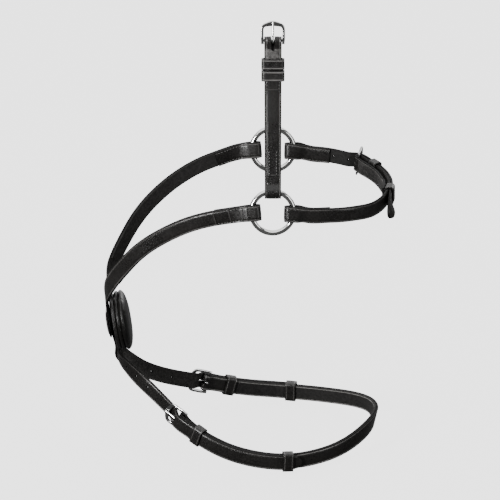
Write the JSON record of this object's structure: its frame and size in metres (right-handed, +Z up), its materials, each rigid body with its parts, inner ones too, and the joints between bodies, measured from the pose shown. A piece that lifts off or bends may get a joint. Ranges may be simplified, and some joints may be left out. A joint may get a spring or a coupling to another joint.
{
  "type": "noseband",
  "caption": "Figure-eight bridle noseband with a round nose pad, metal cheek rings, a padded chin strap and a buckled jaw strap.",
  "frame": {"origin": "middle of the nose pad's inner face, where it rests on the horse's nose", "axes": "+Z up, nose towards -X, near (left) side of the horse towards -Y"},
  "size_m": [0.291, 0.1776, 0.4686],
  "materials": {
    "strap_leather": "black, smooth, semi-gloss",
    "lining_leather": "black, soft, matt",
    "pad_leather": "black, padded, semi-gloss",
    "stainless_steel": "polished stainless steel"
  },
  "bodies": {
    "noseband": {"near_nose_strap": "strap_leather", "near_nose_lining": "lining_leather", "far_nose_strap": "strap_leather", "far_nose_lining": "lining_leather", "chin_strap": "strap_leather", "chin_padding": "lining_leather", "near_chin_buckle_frame": "stainless_steel", "near_chin_fixed_keeper": "strap_leather", "far_chin_buckle_frame": "stainless_steel", "far_chin_fixed_keeper": "strap_leather", "jaw_strap": "strap_leather", "jaw_buckle_frame": "stainless_steel", "jaw_billet": "strap_leather", "jaw_fixed_keeper": "strap_leather", "nose_pad_cushion": "pad_leather", "nose_pad_backing": "strap_leather", "nose_pad_cap": "strap_leather"},
    "near_ring": {"near_ring": "stainless_steel"},
    "far_ring": {"far_ring": "stainless_steel"},
    "cheek_strap": {"cheek_strap": "strap_leather", "cheek_fixed_keeper": "strap_leather"},
    "cheek_buckle": {"cheek_buckle_frame": "stainless_steel"},
    "cheek_tongue": {"cheek_buckle_tongue": "stainless_steel"},
    "cheek_runner": {"cheek_loose_keeper": "strap_leather"},
    "jaw_tongue": {"jaw_buckle_tongue": "stainless_steel"},
    "jaw_runner": {"jaw_loose_keeper": "strap_leather"},
    "near_chin_tongue": {"near_chin_buckle_tongue": "stainless_steel"},
    "near_chin_runner": {"near_chin_loose_keeper": "strap_leather"},
    "far_chin_tongue": {"far_chin_buckle_tongue": "stainless_steel"},
    "far_chin_runner": {"far_chin_loose_keeper": "strap_leather"}
  },
  "joints": [
    {"name": "near_ring_spin", "type": "hinge", "parent": "noseband", "child": "near_ring", "pos_m": [0.1422, -0.075, 0.1532], "axis": [0, -0.9659, 0.2588], "continuous": true},
    {"name": "far_ring_spin", "type": "hinge", "parent": "noseband", "child": "far_ring", "pos_m": [0.1427, 0.075, 0.1532], "axis": [0, -0.9659, 0.2588], "continuous": true},
    {"name": "cheek_strap_swing", "type": "hinge", "parent": "noseband", "child": "cheek_strap", "pos_m": [0.1426, -0.06988, 0.17233], "axis": [1, 0, 0], "range_deg": [-60, 60]},
    {"name": "cheek_buckle_swing", "type": "hinge", "parent": "cheek_strap", "child": "cheek_buckle", "pos_m": [0.1426, -0.03015, 0.3206], "axis": [1, 0, 0], "range_deg": [-60, 45]},
    {"name": "cheek_tongue_lift", "type": "hinge", "parent": "cheek_buckle", "child": "cheek_tongue", "pos_m": [0.1426, -0.03015, 0.3206], "axis": [1, 0, 0], "range_deg": [0, 75]},
    {"name": "cheek_runner_slide", "type": "slide", "parent": "cheek_strap", "child": "cheek_runner", "axis": [0, 0.2588, 0.9659], "range_m": [-0.07, 0.001]},
    {"name": "jaw_tongue_lift", "type": "hinge", "parent": "noseband", "child": "jaw_tongue", "pos_m": [0.22812, 0.05864, 0.14566], "axis": [-0.1, 0.0711, -0.9924], "range_deg": [0, 5]},
    {"name": "near_chin_tongue_lift", "type": "hinge", "parent": "noseband", "child": "near_chin_tongue", "pos_m": [0.05089, -0.04831, -0.08868], "axis": [0.3104, -0.2741, 0.9103], "range_deg": [0, 5]},
    {"name": "far_chin_tongue_lift", "type": "hinge", "parent": "noseband", "child": "far_chin_tongue", "pos_m": [0.07511, 0.06704, -0.10107], "axis": [-0.287, -0.1676, -0.9431], "range_deg": [0, 5]},
    {"name": "near_chin_runner_travel", "type": "hinge", "parent": "noseband", "child": "near_chin_runner", "pos_m": [0.14525, 0.00951, -0.0819], "axis": [-0.0823, 0.3587, -0.9298], "range_deg": [-3, 3]},
    {"name": "far_chin_runner_travel", "type": "hinge", "parent": "noseband", "child": "far_chin_runner", "pos_m": [0.14537, -0.0093, -0.0784], "axis": [-0.0869, -0.3892, -0.917], "range_deg": [-3, 3]},
    {"name": "jaw_runner_travel", "type": "hinge", "parent": "noseband", "child": "jaw_runner", "pos_m": [0.1842, 0.00081, 0.14576], "axis": [0, 0, -1], "range_deg": [-6, 0]}
  ]
}
